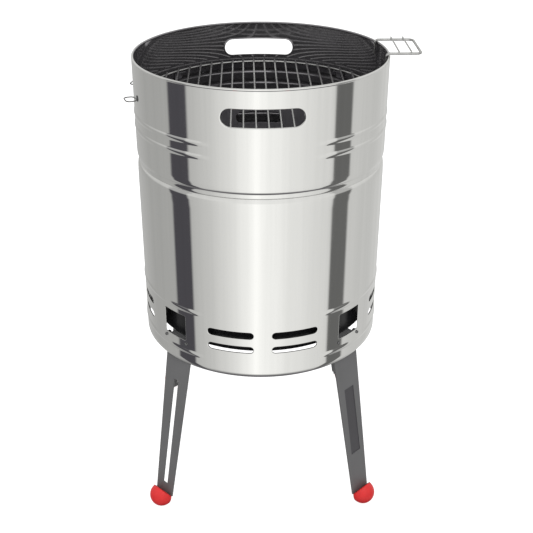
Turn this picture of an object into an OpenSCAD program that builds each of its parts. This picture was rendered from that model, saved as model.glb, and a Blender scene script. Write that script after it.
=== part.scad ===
// Charcoal drum grill: a steel barrel on four splayed legs, with a lift-out charcoal bowl,
// a charcoal grid, a wire cooking grate, a hook-on side rack and two tool rings.
// Millimetres, +Z up. The origin is on the barrel's axis at floor level; the front is -Y.
// Heights given as a "drop" are measured down from the rim. Angles round the barrel ("az") are
// measured from the front, positive towards +X.

/* [Overall] */
// Height of the rim above the floor
total_h = 753.5; // [720:1:800]
// Height of the barrel
barrel_h = 473; // [465:1:485]
// Outer diameter of the barrel
barrel_d = 400; // [396:1:404]
// Thickness of the barrel's sheet
sheet = 1; // [0.8:0.1:1.2]
// Diameter of the rolled rim
rim_roll_d = 4; // [3:0.5:4]

/* [Barrel details] */
// How far the rolled rim stands proud of the wall
rim_proud = 0.8; // [0.4:0.1:1]
// Drop of the first and second upper bead
upper_beads = [86, 106]; // [80:1:120]
// Drop of the first and second lower bead
lower_beads = [371, 449]; // [360:1:455]
// How far a bead stands out
bead_proud = 1; // [0.8:0.1:1.6]
// How far an upper bead's section runs above and below its crest
upper_bead_w = [4.5, 4.5]; // [4:0.5:9]
// How far a lower bead's section runs above and below its crest
lower_bead_w = [4.5, 4.5]; // [4:0.5:8]
// Half the angle of the plain front between the upper beads' ends
upper_plain = 22; // [18:1:26]
// Half the angle of the plain front between the lower beads' ends
lower_plain = 27.5; // [27:0.5:29]
// Width of a hand hole
hand_w = 120; // [100:1:130]
// Height of a hand hole
hand_h = 27; // [22:1:30]
// Drop of the hand holes' centre
hand_drop = 43; // [38:1:46]

/* [Vents] */
// Length of a vent slot
slot_w = 75; // [60:1:76]
// Height of a vent slot
slot_h = 12; // [8:1:13]
// Angle between a vent slot's middle and the nearest quarter line
slot_az = 15; // [14.5:0.1:15.5]
// Drops of the two rows of vent slots
slot_drops = [397, 423]; // [395:1:425]
// Width of a window
window_w = 48; // [40:1:50]
// Height of a window
window_h = 46; // [40:1:46]
// Drop of the windows' centre
window_drop = 407; // [406:1:408]

/* [Legs and feet] */
// Splay of a leg from the vertical
splay = 10.4; // [9:0.1:12]
// Width of a leg where it leaves the barrel
leg_w_top = 57; // [50:1:57]
// Width of a leg at its foot
leg_w_foot = 40; // [36:1:42]
// Thickness of the legs' sheet
leg_t = 2; // [1.5:0.1:2.5]
// Depth of the short ear folded in at the top of a leg
leg_fold = 8; // [5:1:10]
// Width of the long slot in a slotted leg
leg_slot_w = 10.5; // [8:0.5:12]
// Radius of a ball foot
foot_r = 20.4; // [18:0.1:20.5]

/* [Cooking grate] */
// Drop of the grate's top surface
grate_drop = 63; // [60:1:70]
// Number of bars
bar_count = 20; // [16:2:22]
// Distance between two bars
bar_pitch = 18.3; // [15:0.1:18.4]
// Diameter of a bar
bar_d = 3; // [2.5:0.1:4]
// Diameter of the grate's ring wire
ring_wire_d = 4; // [3:0.5:4]

/* [Charcoal bowl] */
// Outer diameter of the bowl
bowl_d = 375; // [370:1:375]
// Drop of the bowl's rim
bowl_rim_drop = 140; // [130:1:145]
// Drop of the bowl's floor
bowl_floor_drop = 433; // [432:1:434]
// Drop of the charcoal grid's ring
grid_drop = 350; // [335:1:352]

/* [Side rack] */
// Distance of the near arm from the middle plane, towards the front
rack_near_y = 28; // [20:1:40]
// Distance of the far arm from the middle plane, towards the back
rack_far_y = 58; // [50:1:62]
// How far the rack reaches from the barrel's axis
rack_reach = 246; // [235:1:260]
// Diameter of the rack's frame wire
rack_wire_d = 4; // [3:0.5:4]

/* [Hidden] */

FINE = 120;
ROUND = 48;
EPS = 0.01;
lap = 0.02;
gap = 0.3;
barrel_r = barrel_d / 2;
inner_r = barrel_r - sheet;

// Waist, where the upper shell's neck plugs into the lower shell's lip
neck_r = barrel_r - 4;
waist_start = 148;
waist_drop = 165;
neck_end = 186;
shoulder_end = 190;

// Lap seams inside the shells
seam_az = 105;
seam_angle = 4;
seam_t = 0.8;

// Legs
leg_azs = [45, 135, 225, 315];
bend_drop = barrel_h;
tab_r = inner_r - 3.3;
tab_top_drop = 433.3;
shelf_half_w = 18;
shelf_reach = 32;
leg_len = 263.1;
leg_ear_len = 20;
screw_x = 23.5;
screw_drop = 436.5;
screw_hole_r = 2.1;
foot_out = 5.7;
foot_down = 3.2;
foot_cut = 41.6;
tongue_r = 16.5;
leg_slot_v = [43, 245];
panel_v = [61, 187];
panel_w = 23;
panel_depth = 0.8;

// Grate stack
bar_z = drop_z(grate_drop) - bar_d / 2;
ring_gap = 0.05;
grate_ring_z = bar_z - (bar_d + ring_wire_d) / 2 - ring_gap;
grate_ring_r = 190;
cross_y = 18;
clip_top_z = grate_ring_z - ring_wire_d / 2 - gap;
clip_w = 16;
clip_reach = inner_r - 188.4;
clip_t = 1.5;
clip_h = 14;

// Bowl and charcoal grid
bowl_r = bowl_d / 2;
bowl_t = 1.2;
bowl_corner = 4;
bowl_rim_d = 4;
bowl_slot_w = 84;
bowl_slot_h = 20;
bowl_slot_drop = 169;
air_hole_r = 6;
air_hole_count = 20;
air_hole_drop = 380;
grid_ring_r = 178;
grid_wire_d = 5;
grid_bar_count = 15;
grid_bar_pitch = 22;
rest_reach = 14;

// Side rack
rack_bend = 8;
hook_gap = 0.45;
hook_bend = rim_roll_d / 2 + hook_gap + rack_wire_d / 2;
hook_len = 18;
rim_roll_r = barrel_r + rim_proud - rim_roll_d / 2;
rack_z = total_h - rim_roll_d / 2 + hook_bend;
rack_cross_x = [211, 230];
rack_cross_d = 2.5;
rack_overhang = 4;

// Tool rings
tool_rings = [[-69.7, 53], [-106, 66]];
loop_r = 8;
loop_straight = 7;
loop_wire_d = 2;
shank_r = 2;
shank_clear = 0.05;
eyelet_r = 3.5;
flange_r = 4.75;
flange_t = 0.8;
loop_centre_r = barrel_r + 3 + loop_r;

STEEL = [0.80, 0.80, 0.79];
DARK = [0.16, 0.16, 0.17];
GREY = [0.42, 0.42, 0.42];
RED = [0.87, 0.20, 0.20];
WIRE = [0.70, 0.70, 0.69];

// Height above the floor of a feature a given drop below the rim
function drop_z(drop) = total_h - drop;

// Places children at an angle round the barrel; their -Y axis points outwards
module at_az(az) rotate([0, 0, az]) children();

// A round bar along X, Y or Z from a start point
module bar_x(p, len, d) translate(p) rotate([0, 90, 0]) cylinder(h = len, d = d, $fn = ROUND);
module bar_y(p, len, d) translate(p) rotate([-90, 0, 0]) cylinder(h = len, d = d, $fn = ROUND);
module bar_z(p, len, d) translate(p) cylinder(h = len, d = d, $fn = ROUND);

// A wire bend: part of a torus in the XY plane, from the +X direction
module wire_bend(r, d, angle) {
    rotate_extrude(angle = angle, $fn = ROUND) translate([r, 0]) circle(d = d, $fn = 32);
}

// A full ring of round wire, flat in the XY plane
module wire_ring(r, d) rotate_extrude($fn = FINE) translate([r, 0]) circle(d = d, $fn = 32);

// A prism with round ends, w wide and h high, that runs along Y through the barrel's wall
module obround_cut(w, h, y, depth) {
    translate([-(w - h) / 2, y, -h / 2]) cube([w - h, depth, h]);
    for (side = [-1, 1]) {
        translate([side * (w - h) / 2, y, 0]) rotate([-90, 0, 0])
            cylinder(h = depth, r = h / 2, $fn = ROUND);
    }
}

// A rectangular prism with rounded corners along Y
module window_cut(w, h, r, y, depth) {
    translate([-w / 2, y, -h / 2 + r]) cube([w, depth, h - 2 * r]);
    translate([-w / 2 + r, y, -h / 2]) cube([w - 2 * r, depth, h]);
    for (sx = [-1, 1], sz = [-1, 1]) {
        translate([sx * (w / 2 - r), y, sz * (h / 2 - r)]) rotate([-90, 0, 0])
            cylinder(h = depth, r = r, $fn = ROUND);
    }
}

// Section of a bead: a half cosine that rises from radius r, closed at radius back; w holds how
// far it runs above and below its crest
function bead_section(r, back, z, w) = concat(
    [[back, z - w[1]]],
    [for (t = [-1 : 0.2 : 1.001]) [r + bead_proud * cos(90 * t), z + t * (t > 0 ? w[0] : w[1])]],
    [[back, z + w[0]]]);

// A rolled bead in a shell: a ridge outside and the same groove inside, open across the front
module bead_ridge(z, w, plain) {
    rotate_extrude(angle = 360 - 2 * plain, start = plain - 90, $fn = FINE)
        polygon(bead_section(barrel_r, barrel_r - sheet / 2, z, w));
}
module bead_groove(z, w, plain) {
    rotate_extrude(angle = 360 - 2 * plain, start = plain - 90, $fn = FINE)
        polygon(bead_section(inner_r, inner_r - 1, z, w));
}

// The doubled strip inside a shell where the sheet's two ends lap
module lap_seam(z0, z1) {
    rotate_extrude(angle = seam_angle, start = seam_az - 90 - seam_angle / 2, $fn = FINE)
        polygon([[inner_r - seam_t, z0], [inner_r + EPS, z0], [inner_r + EPS, z1],
                 [inner_r - seam_t, z1]]);
}

// The collar of a hand hole: the sheet's edge turned inwards
module hand_collar(az) {
    turn = 3.5;
    at_az(az) translate([0, 0, drop_z(hand_drop)]) intersection() {
        difference() {
            obround_cut(hand_w + 2 * sheet, hand_h + 2 * sheet, -barrel_r - 5, 20);
            obround_cut(hand_w, hand_h, -barrel_r - 6, 30);
        }
        translate([0, 0, -hand_h]) difference() {
            cylinder(h = 2 * hand_h, r = barrel_r + 0.3, $fn = FINE);
            translate([0, 0, -1]) cylinder(h = 2 * hand_h + 2, r = barrel_r - turn, $fn = FINE);
        }
    }
}

// Upper shell: rolled rim, two beads, two hand holes and the swaged neck
module upper_shell() {
    outer = [[0, barrel_r], [waist_start - rim_roll_d / 2, barrel_r],
             [waist_start + 3, barrel_r - 0.3], [waist_start + 6, barrel_r - 0.9],
             [waist_start + 8.5, barrel_r - 2.1], [waist_start + 11, barrel_r - 2.4],
             [waist_start + 15, barrel_r - 2.6],
             [waist_drop, neck_r], [neck_end, neck_r]];
    wall = [for (p = outer) [p[1], drop_z(p[0] == 0 ? rim_roll_d / 2 : p[0])]];
    back = [for (i = [len(wall) - 1 : -1 : 0]) [wall[i][0] - sheet, wall[i][1]]];
    color(STEEL) difference() {
        union() {
            rotate_extrude($fn = FINE) polygon(concat(wall, back));
            translate([0, 0, drop_z(rim_roll_d / 2)])
                wire_ring(rim_roll_r, rim_roll_d);
            for (drop = upper_beads) bead_ridge(drop_z(drop), upper_bead_w, upper_plain);
            lap_seam(drop_z(waist_start - 4), drop_z(rim_roll_d + 1));
            for (az = [0, 180]) hand_collar(az);
        }
        for (drop = upper_beads) bead_groove(drop_z(drop), upper_bead_w, upper_plain);
        for (az = [0, 180]) {
            at_az(az) translate([0, 0, drop_z(hand_drop)])
                obround_cut(hand_w, hand_h, -barrel_r - 10, 30);
        }
        for (ring = tool_rings) {
            at_az(ring[0]) translate([0, -barrel_r - 5, drop_z(ring[1])]) rotate([-90, 0, 0])
                cylinder(h = 12, r = eyelet_r, $fn = ROUND);
        }
    }
}

// Lower shell: curled lip, two beads, vent slots, windows and the legs' screw holes
module lower_shell() {
    lip = [[waist_drop + 0.6, barrel_r - 3.2], [waist_drop + 3, barrel_r - 2],
           [waist_drop + 6.5, barrel_r - 0.9], [waist_drop + 12, barrel_r - 0.3],
           [shoulder_end, barrel_r], [barrel_h, barrel_r]];
    wall = [for (p = lip) [p[1], drop_z(p[0])]];
    back = [for (i = [len(lip) - 1 : -1 : 1]) [lip[i][1] - sheet, drop_z(lip[i][0])]];
    lip_back = [[neck_r, drop_z(waist_drop + 2.5)], [neck_r, drop_z(waist_drop + 0.6)]];
    color(STEEL) difference() {
        union() {
            rotate_extrude($fn = FINE) polygon(concat(wall, back, lip_back));
            for (drop = lower_beads) bead_ridge(drop_z(drop), lower_bead_w, lower_plain);
            lap_seam(drop_z(barrel_h - 4), drop_z(shoulder_end + 4));
        }
        for (drop = lower_beads) bead_groove(drop_z(drop), lower_bead_w, lower_plain);
        for (quarter = [0 : 90 : 270], side = [-1, 1], drop = slot_drops) {
            at_az(quarter + side * slot_az) translate([0, 0, drop_z(drop)])
                obround_cut(slot_w, slot_h, -barrel_r - 10, 20);
        }
        for (az = leg_azs) {
            at_az(az) translate([0, 0, drop_z(window_drop)])
                window_cut(window_w, window_h, 3, -barrel_r - 10, 20);
            at_az(az) screw_holes();
        }
    }
}

// The two screw holes at the top of a leg, cut through both the wall and the leg's tab
module screw_holes() {
    for (side = [-1, 1]) {
        translate([side * screw_x, -barrel_r - 5, drop_z(screw_drop)]) rotate([-90, 0, 0])
            cylinder(h = 15, r = screw_hole_r, $fn = ROUND);
    }
}

// A small angle bracket: a shelf that reaches inwards and a flange against the wall below it
module angle_bracket(face_r, top_z, reach, h) {
    translate([-clip_w / 2, -face_r, top_z - clip_t]) cube([clip_w, reach, clip_t]);
    translate([-clip_w / 2, -face_r, top_z - h]) cube([clip_w, clip_t, h]);
}

module grate_clips() {
    face_r = inner_r - 0.2;
    color(STEEL) for (az = leg_azs) at_az(az) angle_bracket(face_r, clip_top_z, clip_reach, clip_h);
}

// Moves children into a leg's own plane: X across the leg, Y outwards through the sheet,
// Z up along the leg, with the origin at the bend on the sheet's outer face
module leg_plane(az) {
    at_az(az) translate([0, -tab_r, drop_z(bend_drop)]) rotate([-splay, 0, 0])
        mirror([0, 1, 0]) children();
}

// Outline of a leg below the bend, made smaller all round by inset; drawn in X and -Z
module leg_outline(inset, z_top, z_end) {
    function half_w(z) = (leg_w_top + (leg_w_foot - leg_w_top) * (-z / leg_len)) / 2 - inset;
    polygon([[-half_w(z_top), z_top], [half_w(z_top), z_top], [half_w(z_end), z_end],
             [-half_w(z_end), z_end]]);
}

// A plate cut to an outline, its outer face at a given depth behind the leg's outer face
module leg_plate(depth, t) {
    translate([0, -depth, 0]) rotate([90, 0, 0]) linear_extrude(t) children();
}

// A leg: a plate with an ear on one side and a round tongue below, a vertical tab and a shelf
// that carries the bowl
module leg(az, slotted) {
    color(GREY) difference() {
        union() {
            leg_plane(az) {
                leg_plate(0, leg_t) leg_outline(0, 0, -leg_len);
                difference() {
                    leg_plate(0, leg_fold) leg_outline(0, 0, -leg_ear_len);
                    leg_plate(leg_t, leg_fold) translate([leg_t, 0])
                        leg_outline(0, 1, -leg_ear_len - 1);
                }
                leg_plate(0, leg_t) translate([0, -leg_len - foot_down])
                    circle(r = tongue_r, $fn = ROUND);
            }
            at_az(az) {
                translate([-leg_w_top / 2, -tab_r, drop_z(bend_drop) - leg_t * sin(splay)])
                    cube([leg_w_top, leg_t, bend_drop - tab_top_drop + leg_t * sin(splay)]);
                translate([-shelf_half_w, -tab_r, drop_z(tab_top_drop) - leg_t])
                    cube([2 * shelf_half_w, shelf_reach, leg_t]);
            }
        }
        at_az(az) screw_holes();
        leg_plane(az) {
            if (slotted) {
                leg_plate(-1, leg_t + 2) leg_slot();
            } else {
                leg_plate(-1, 1 + panel_depth) translate([-panel_w / 2, -panel_v[1]])
                    square([panel_w, panel_v[1] - panel_v[0]]);
            }
            translate([0, 1, -leg_len - foot_down]) rotate([90, 0, 0])
                cylinder(h = leg_t + 2, r = screw_hole_r, $fn = ROUND);
        }
    }
}

// The long slot of a slotted leg
module leg_slot() {
    translate([-leg_slot_w / 2, -leg_slot_v[1]]) square([leg_slot_w, leg_slot_v[1] - leg_slot_v[0]]);
}

// A ball foot, flat against the leg and on the floor, cut aslant from the leg's end upwards
module foot(az) {
    color(RED) difference() {
        leg_plane(az) difference() {
            translate([0, foot_out, -leg_len - foot_down]) sphere(r = foot_r, $fn = ROUND);
            translate([-foot_r - 1, -2 * foot_r, -leg_len - foot_down - foot_r - 1])
                cube([2 * foot_r + 2, 2 * foot_r, 2 * foot_r + 2]);
            translate([0, 0, -leg_len]) rotate([foot_cut, 0, 0])
                translate([-foot_r - 1, -1, 0])
                    cube([2 * foot_r + 2, 2 * foot_r + foot_out, foot_r]);
            translate([0, -1, -leg_len - foot_down]) rotate([-90, 0, 0])
                cylinder(h = 13, r = shank_r, $fn = ROUND);
        }
        at_az(az) translate([-2 * foot_r, -tab_r - leg_len, -10])
            cube([4 * foot_r, leg_len, 10]);
    }
}

// Pan-head screws through the wall and the legs' tabs
module leg_screws() {
    head_y = -barrel_r + 1;
    color(STEEL) for (az = leg_azs, side = [-1, 1]) at_az(az) {
        translate([side * screw_x, head_y, drop_z(screw_drop)]) rotate([90, 0, 0])
            cylinder(h = 2, r = 2.6, $fn = ROUND);
        bar_y([side * screw_x, head_y - EPS, drop_z(screw_drop)], 9, 3.9);
    }
}

// Hexagon nuts inside the legs' tabs
module leg_nuts() {
    color(STEEL) for (az = leg_azs, side = [-1, 1]) at_az(az) {
        translate([side * screw_x, -tab_r + leg_t, drop_z(screw_drop)]) rotate([-90, 0, 0])
            difference() {
                cylinder(h = 3, d = 7.8, $fn = 6);
                translate([0, 0, -1]) cylinder(h = 5, d = 4, $fn = ROUND);
            }
    }
}

// Screws that hold the ball feet, put in from behind the legs
module foot_screws() {
    color(STEEL) for (az = leg_azs) leg_plane(az) translate([0, 0, -leg_len - foot_down]) {
        translate([0, -leg_t, 0]) rotate([90, 0, 0]) cylinder(h = 2.5, r = 4, $fn = ROUND);
        bar_y([0, -leg_t - EPS, 0], 12, 2 * shank_r);
    }
}

// Eyelets pressed into the upper shell for the tool rings
module ring_eyelets() {
    inner_face = sqrt(inner_r * inner_r - flange_r * flange_r);
    color(DARK) for (ring = tool_rings) at_az(ring[0]) translate([0, 0, drop_z(ring[1])]) {
        rotate([90, 0, 0]) difference() {
            union() {
                translate([0, 0, barrel_r]) cylinder(h = flange_t, r = flange_r, $fn = ROUND);
                translate([0, 0, inner_face - flange_t])
                    cylinder(h = barrel_r - inner_face + 2 * flange_t, r = eyelet_r, $fn = ROUND);
                translate([0, 0, inner_face - flange_t])
                    cylinder(h = flange_t, r = flange_r, $fn = ROUND);
            }
            translate([0, 0, inner_face - 5])
                cylinder(h = 12, r = shank_r + shank_clear, $fn = ROUND);
        }
    }
}

// A tool ring's eye: a flat loop of wire with two straight sides
module tool_loop() {
    for (side = [0, 180]) rotate([0, 0, side]) {
        translate([loop_straight / 2, 0, 0]) rotate([0, 0, -90])
            wire_bend(loop_r, loop_wire_d, 180);
        bar_x([-loop_straight / 2, loop_r, 0], loop_straight, loop_wire_d);
    }
}

// A tool ring: a wire eye on a shank that swivels in its eyelet, headed inside the wall
module tool_ring(ring) {
    head_t = 1.2;
    head_r = inner_r - flange_t - 0.4 - head_t;
    color(WIRE) at_az(ring[0]) translate([0, 0, drop_z(ring[1])]) {
        translate([0, -loop_centre_r, 0]) tool_loop();
        rotate([90, 0, 0]) translate([0, 0, head_r])
            cylinder(h = loop_centre_r - loop_r - head_r, r = shank_r, $fn = ROUND);
        rotate([90, 0, 0]) translate([0, 0, head_r]) cylinder(h = head_t, r = 3.75, $fn = ROUND);
    }
}

// Charcoal bowl: rolled rim, rounded floor corner, two hand slots and a row of air holes
module charcoal_bowl() {
    floor_z = drop_z(bowl_floor_drop);
    rim_z = drop_z(bowl_rim_drop) - bowl_rim_d / 2;
    function corner(r, a) = [bowl_r - bowl_corner + r * cos(a), floor_z + bowl_corner + r * sin(a)];
    outside = [for (a = [-90 : 15 : 0]) corner(bowl_corner, a)];
    inside = [for (a = [0 : -15 : -90]) corner(bowl_corner - bowl_t, a)];
    color(DARK) difference() {
        union() {
            rotate_extrude($fn = FINE)
                polygon(concat([[0, floor_z]], outside, [[bowl_r, rim_z], [bowl_r - bowl_t, rim_z]],
                               inside, [[0, floor_z + bowl_t]]));
            translate([0, 0, rim_z]) wire_ring(bowl_r - bowl_rim_d / 2, bowl_rim_d);
        }
        for (az = [0, 180]) {
            at_az(az) translate([0, 0, drop_z(bowl_slot_drop)])
                obround_cut(bowl_slot_w, bowl_slot_h, -bowl_r - 10, 24);
        }
        for (i = [0 : air_hole_count - 1]) {
            at_az(i * 360 / air_hole_count) translate([0, -bowl_r - 5, drop_z(air_hole_drop)])
                rotate([-90, 0, 0]) cylinder(h = 10, r = air_hole_r, $fn = ROUND);
        }
    }
}

// Angle brackets inside the bowl that carry the charcoal grid
module grid_rests() {
    face_r = bowl_r - bowl_t - 0.2;
    top_z = drop_z(grid_drop) - grid_wire_d / 2 - gap;
    color(DARK) for (az = leg_azs) at_az(az) angle_bracket(face_r, top_z, rest_reach, clip_h);
}

module charcoal_grid_ring() {
    color(DARK) translate([0, 0, drop_z(grid_drop)]) wire_ring(grid_ring_r, grid_wire_d);
}

// Parallel bars that end on a ring, and lie on top of it
module bars_on_ring(count, pitch, ring_r, z, d) {
    for (i = [0 : count - 1]) {
        x = (i - (count - 1) / 2) * pitch;
        half = sqrt(ring_r * ring_r - x * x);
        bar_y([x, -half, z], 2 * half, d);
    }
}

module charcoal_grid_bars() {
    z = drop_z(grid_drop) + grid_wire_d + ring_gap;
    color(DARK) bars_on_ring(grid_bar_count, grid_bar_pitch, grid_ring_r, z, grid_wire_d);
}

module grate_ring() {
    color(WIRE) translate([0, 0, grate_ring_z]) wire_ring(grate_ring_r, ring_wire_d);
}

module grate_bars() {
    color(WIRE) bars_on_ring(bar_count, bar_pitch, grate_ring_r, bar_z, bar_d);
}

// Two wires under the bars that keep them apart
module grate_cross_wires() {
    reach = grate_ring_r - ring_wire_d / 2 - ring_gap;
    half = sqrt(reach * reach - pow(cross_y + ring_wire_d / 2, 2));
    color(WIRE) for (side = [-1, 1]) {
        bar_x([-half, side * cross_y, grate_ring_z], 2 * half, ring_wire_d);
    }
}

// One arm of the rack: a hook inside the rim, a bend round it and a run outwards
module rack_arm(y) {
    rim_x = sqrt(rim_roll_r * rim_roll_r - y * y);
    bar_z([rim_x - hook_bend, y, rack_z - hook_bend - hook_len], hook_len, rack_wire_d);
    translate([rim_x, y, rack_z - hook_bend]) rotate([90, 0, 180])
        wire_bend(hook_bend, rack_wire_d, 90);
    bar_x([rim_x - lap, y, rack_z], rack_reach - rack_bend - rim_x + 2 * lap, rack_wire_d);
}

// Rack frame: both arms and the outer end, bent from one wire
module rack_frame() {
    corner_x = rack_reach - rack_bend;
    near_y = -rack_near_y + rack_bend;
    far_y = rack_far_y - rack_bend;
    color(WIRE) {
        rack_arm(-rack_near_y);
        rack_arm(rack_far_y);
        translate([corner_x, near_y, rack_z]) rotate([0, 0, -90])
            wire_bend(rack_bend, rack_wire_d, 90);
        translate([corner_x, far_y, rack_z]) mirror([0, 1, 0]) rotate([0, 0, -90])
            wire_bend(rack_bend, rack_wire_d, 90);
        bar_y([rack_reach, near_y, rack_z], far_y - near_y, rack_wire_d);
    }
}

module rack_cross_wires() {
    z = rack_z + (rack_wire_d + rack_cross_d) / 2;
    color(WIRE) for (x = rack_cross_x) {
        bar_y([x, -rack_near_y - 1, z], rack_near_y + rack_far_y + 1 + rack_overhang, rack_cross_d);
    }
}

upper_shell();
lower_shell();
grate_clips();
leg(leg_azs[0], false);  // leg_front_right
leg(leg_azs[1], true);  // leg_rear_right
leg(leg_azs[2], false);  // leg_rear_left
leg(leg_azs[3], true);  // leg_front_left
foot(leg_azs[0]);  // foot_front_right
foot(leg_azs[1]);  // foot_rear_right
foot(leg_azs[2]);  // foot_rear_left
foot(leg_azs[3]);  // foot_front_left
leg_screws();
leg_nuts();
foot_screws();
ring_eyelets();
tool_ring(tool_rings[0]);  // tool_ring_front
tool_ring(tool_rings[1]);  // tool_ring_rear
charcoal_bowl();
grid_rests();
charcoal_grid_ring();
charcoal_grid_bars();
grate_ring();
grate_bars();
grate_cross_wires();
rack_frame();
rack_cross_wires();
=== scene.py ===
"""Looks of the charcoal drum grill: a polished steel drum on four splayed legs.

Everything is in metres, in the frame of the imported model: origin on the drum's axis at floor
level, front -Y, side rack +X. A drop is a distance in millimetres below the rim; az is an angle
in degrees round the drum from the front, positive towards +X.
"""
import math
import random

import bmesh
import bpy
from mathutils import Matrix, Vector


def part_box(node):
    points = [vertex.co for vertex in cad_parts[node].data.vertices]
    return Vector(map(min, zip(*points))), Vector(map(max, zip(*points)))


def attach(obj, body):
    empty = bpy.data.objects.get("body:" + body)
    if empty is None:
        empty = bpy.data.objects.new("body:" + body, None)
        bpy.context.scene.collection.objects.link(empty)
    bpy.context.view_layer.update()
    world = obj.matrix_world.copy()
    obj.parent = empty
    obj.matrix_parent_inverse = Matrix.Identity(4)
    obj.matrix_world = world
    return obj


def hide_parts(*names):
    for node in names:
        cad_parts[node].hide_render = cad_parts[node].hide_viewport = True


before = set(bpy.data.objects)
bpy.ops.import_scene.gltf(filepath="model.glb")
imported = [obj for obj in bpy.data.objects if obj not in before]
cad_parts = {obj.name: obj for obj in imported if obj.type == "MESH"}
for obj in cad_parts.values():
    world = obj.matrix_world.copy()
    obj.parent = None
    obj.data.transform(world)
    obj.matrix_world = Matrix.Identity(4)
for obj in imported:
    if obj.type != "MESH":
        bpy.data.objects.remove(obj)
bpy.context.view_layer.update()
MM = 0.001
random.seed(7)

# ---------------------------------------------------------------- sizes, from the frame
SHEET = 1.0 * MM
ROLL_R = 2.0 * MM
RIM_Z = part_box("upper_shell")[1].z
BARREL_R = -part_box("lower_shell")[0].y
NECK_R = BARREL_R - 4 * MM
ROLL_CENTRE_R = -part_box("upper_shell")[0].y - ROLL_R
UPPER_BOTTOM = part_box("upper_shell")[0].z
LOWER_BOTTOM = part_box("lower_shell")[0].z
LOWER_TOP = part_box("lower_shell")[1].z
LEG_AZS = (45, 135, 225, 315)


def drop_z(drop):
    """Height of a feature that lies a drop, in millimetres, below the rim."""
    return RIM_Z - drop * MM


def drop_of(z):
    """The drop of a height, in millimetres."""
    return (RIM_Z - z) / MM


def at(az, r, z):
    """The point at an angle round the drum, a radius and a height."""
    a = math.radians(az)
    return Vector((r * math.sin(a), -r * math.cos(a), z))


def local_frame(az, z):
    """Local X along the wall, Y outwards and Z up, at the drum's axis."""
    a = math.radians(az)
    return Matrix(((math.cos(a), math.sin(a), 0, 0), (math.sin(a), -math.cos(a), 0, 0),
                   (0, 0, 1, z), (0, 0, 0, 1)))


def smooth_step(x):
    x = min(max(x, 0.0), 1.0)
    return x * x * (3 - 2 * x)


# ---------------------------------------------------------------- camera
def add_camera():
    """A long lens a little above the rim, looking down at the front."""
    azimuth, pitch = math.radians(-1.0), math.radians(27.85)
    distance = 7.114 * BARREL_R
    height = RIM_Z + 1.867 * BARREL_R
    data = bpy.data.cameras.new("camera")
    data.sensor_width = 36
    data.lens = 62.3
    data.shift_x = 0.0110
    cam = bpy.data.objects.new("camera", data)
    cam.location = (distance * math.sin(azimuth), -distance * math.cos(azimuth), height)
    cam.rotation_euler = (math.pi / 2 - pitch, 0, azimuth)
    bpy.context.scene.collection.objects.link(cam)
    bpy.context.scene.camera = cam


# ---------------------------------------------------------------- mesh helpers
def add_object(name, verts, faces):
    mesh = bpy.data.meshes.new(name)
    mesh.from_pydata([tuple(v) for v in verts], [], faces)
    obj = bpy.data.objects.new(name, mesh)
    bpy.context.scene.collection.objects.link(obj)
    clean(obj)
    return obj


def clean(obj):
    """Merges doubled points, turns every face outwards and shades it smooth."""
    bm = bmesh.new()
    bm.from_mesh(obj.data)
    bmesh.ops.remove_doubles(bm, verts=bm.verts, dist=1e-7)
    bmesh.ops.recalc_face_normals(bm, faces=bm.faces)
    for face in bm.faces:
        face.smooth = True
    bm.to_mesh(obj.data)
    bm.free()


def sharpen(obj, angle):
    """Keeps edges steeper than an angle crisp."""
    obj.data.set_sharp_from_angle(angle=math.radians(angle))


def finish_piece(obj, material, body, nodes):
    """Gives a piece its material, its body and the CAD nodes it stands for."""
    obj.data.materials.clear()
    obj.data.materials.append(material)
    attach(obj, body)
    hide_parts(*nodes)


def join_meshes(parts):
    """One (verts, faces) pair from several."""
    verts, faces = [], []
    for part_verts, part_faces in parts:
        base = len(verts)
        verts += part_verts
        faces += [tuple(base + i for i in face) for face in part_faces]
    return verts, faces


def moved(part, matrix):
    return [matrix @ Vector(v) for v in part[0]], part[1]


def between_rings(rings, steps, closed):
    """Faces between neighbouring rings of points; closed joins the last ring to the first."""
    faces = []
    for k in range(rings if closed else rings - 1):
        k2 = (k + 1) % rings
        for i in range(steps):
            j = (i + 1) % steps
            faces.append((k * steps + i, k * steps + j, k2 * steps + j, k2 * steps + i))
    return faces


def lathe(profile, steps, closed=False):
    """A profile of (radius, height) points turned about Z; radius 0 closes an end."""
    verts = []
    for r, z in profile:
        for i in range(steps):
            a = 2 * math.pi * i / steps
            verts.append(Vector((r * math.cos(a), r * math.sin(a), z)))
    return verts, between_rings(len(profile), steps, closed)


def fillet(points, radius, steps=8):
    """A polyline with its corners rounded."""
    out = [Vector(points[0])]
    for before, corner, after in zip(points, points[1:], points[2:]):
        corner = Vector(corner)
        u = (Vector(before) - corner).normalized()
        v = (Vector(after) - corner).normalized()
        half = u.angle(v) / 2
        reach = radius / math.tan(half)
        centre = corner + (u + v).normalized() * (radius / math.sin(half))
        start, end = corner + u * reach - centre, corner + v * reach - centre
        turn = start.angle(end)
        for i in range(steps + 1):
            t = i / steps
            arm = (start * math.sin((1 - t) * turn) + end * math.sin(t * turn)) / math.sin(turn)
            out.append(centre + arm)
    out.append(Vector(points[-1]))
    return out


def straight(start, end, steps):
    """Points from start to end in even steps."""
    start, end = Vector(start), Vector(end)
    return [start + (end - start) * (i / steps) for i in range(steps + 1)]


def tangents_of(path, closed):
    """The direction of a path at each of its points."""
    last = len(path) - 1
    if closed:
        ends = [(path[(i + 1) % len(path)], path[i - 1]) for i in range(len(path))]
    else:
        ends = [(path[min(i + 1, last)], path[max(i - 1, 0)]) for i in range(len(path))]
    return [(after - before).normalized() for after, before in ends]


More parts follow.
